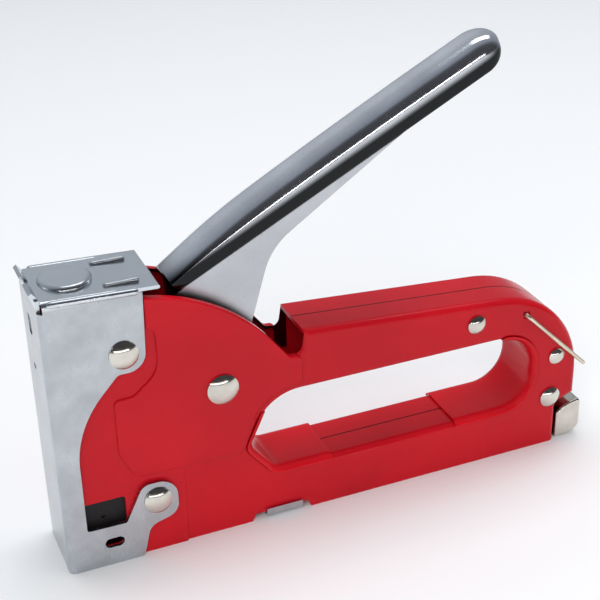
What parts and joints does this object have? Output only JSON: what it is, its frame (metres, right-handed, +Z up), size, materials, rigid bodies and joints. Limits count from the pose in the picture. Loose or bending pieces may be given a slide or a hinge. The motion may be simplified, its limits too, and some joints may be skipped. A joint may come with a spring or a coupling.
{
  "type": "staple gun",
  "caption": "Hand-squeezed metal staple gun with a red pressed-steel body, plated nose and lever, wire handle lock and a pull-out staple magazine.",
  "frame": {"origin": "middle of the front edge of the nose's foot, where the nose meets the work", "axes": "+X from the nose to the rear, +Z up from the foot, -Y the left side"},
  "size_m": [0.1624, 0.0254, 0.1302],
  "materials": {
    "red_paint": "gloss",
    "zinc_plate": "satin",
    "bright_chrome": "polished",
    "nickel_rivet": "bright",
    "nickel_wire": "satin",
    "hard_steel": "satin",
    "spring_steel": "satin",
    "staple_wire": "satin",
    "black_plastic": "matte"
  },
  "bodies": {
    "body": {"left_shell": "red_paint", "right_shell": "red_paint", "nose_cover": "zinc_plate", "pivot_rivet": "nickel_rivet", "nose_rivet": "nickel_rivet", "arm_rivet": "nickel_rivet", "grip_rivet": "nickel_rivet", "rear_rivet_upper": "nickel_rivet", "rear_rivet_lower": "nickel_rivet", "main_spring": "spring_steel", "return_spring": "spring_steel", "bumper": "black_plastic", "magazine_channel": "zinc_plate", "staple_strip": "staple_wire"},
    "handle": {"handle_lever": "bright_chrome", "lifter_arm": "hard_steel", "pivot_bush": "hard_steel"},
    "striker": {"plunger": "hard_steel", "striker_blade": "hard_steel"},
    "magazine": {"magazine_rail": "zinc_plate", "magazine_latch": "zinc_plate", "follower_rod": "hard_steel", "follower_spring": "spring_steel"},
    "follower": {"staple_follower": "hard_steel"},
    "lock": {"lock_wire": "nickel_wire"}
  },
  "joints": [
    {"name": "handle_squeeze", "type": "hinge", "parent": "body", "child": "handle", "pos_m": [0.046, 0, 0.0468], "axis": [0, 1, 0], "range_deg": [0, 35], "stiffness_Nm_per_rad": 0.5, "springref_deg": -17.19},
    {"name": "striker_lift", "type": "slide", "parent": "body", "child": "striker", "axis": [0, 0, 1], "range_m": [0, 0.0224], "stiffness_N_per_m": 1200, "springref_m": -0.01, "deforming": ["main_spring"]},
    {"name": "magazine_slide", "type": "slide", "parent": "body", "child": "magazine", "axis": [1, 0, 0], "range_m": [0, 0.1]},
    {"name": "follower_feed", "type": "slide", "parent": "magazine", "child": "follower", "axis": [1, 0, 0], "range_m": [0, 0.04], "stiffness_N_per_m": 30, "springref_m": -0.08, "deforming": ["follower_spring"]},
    {"name": "lock_swing", "type": "hinge", "parent": "body", "child": "lock", "pos_m": [0.1393, 0, 0.0468], "axis": [0, -1, 0], "range_deg": [0, 120]}
  ],
  "couplings": [
    {"joint": "striker_lift", "follows": "handle_squeeze", "m_per_rad": 0.03656}
  ]
}
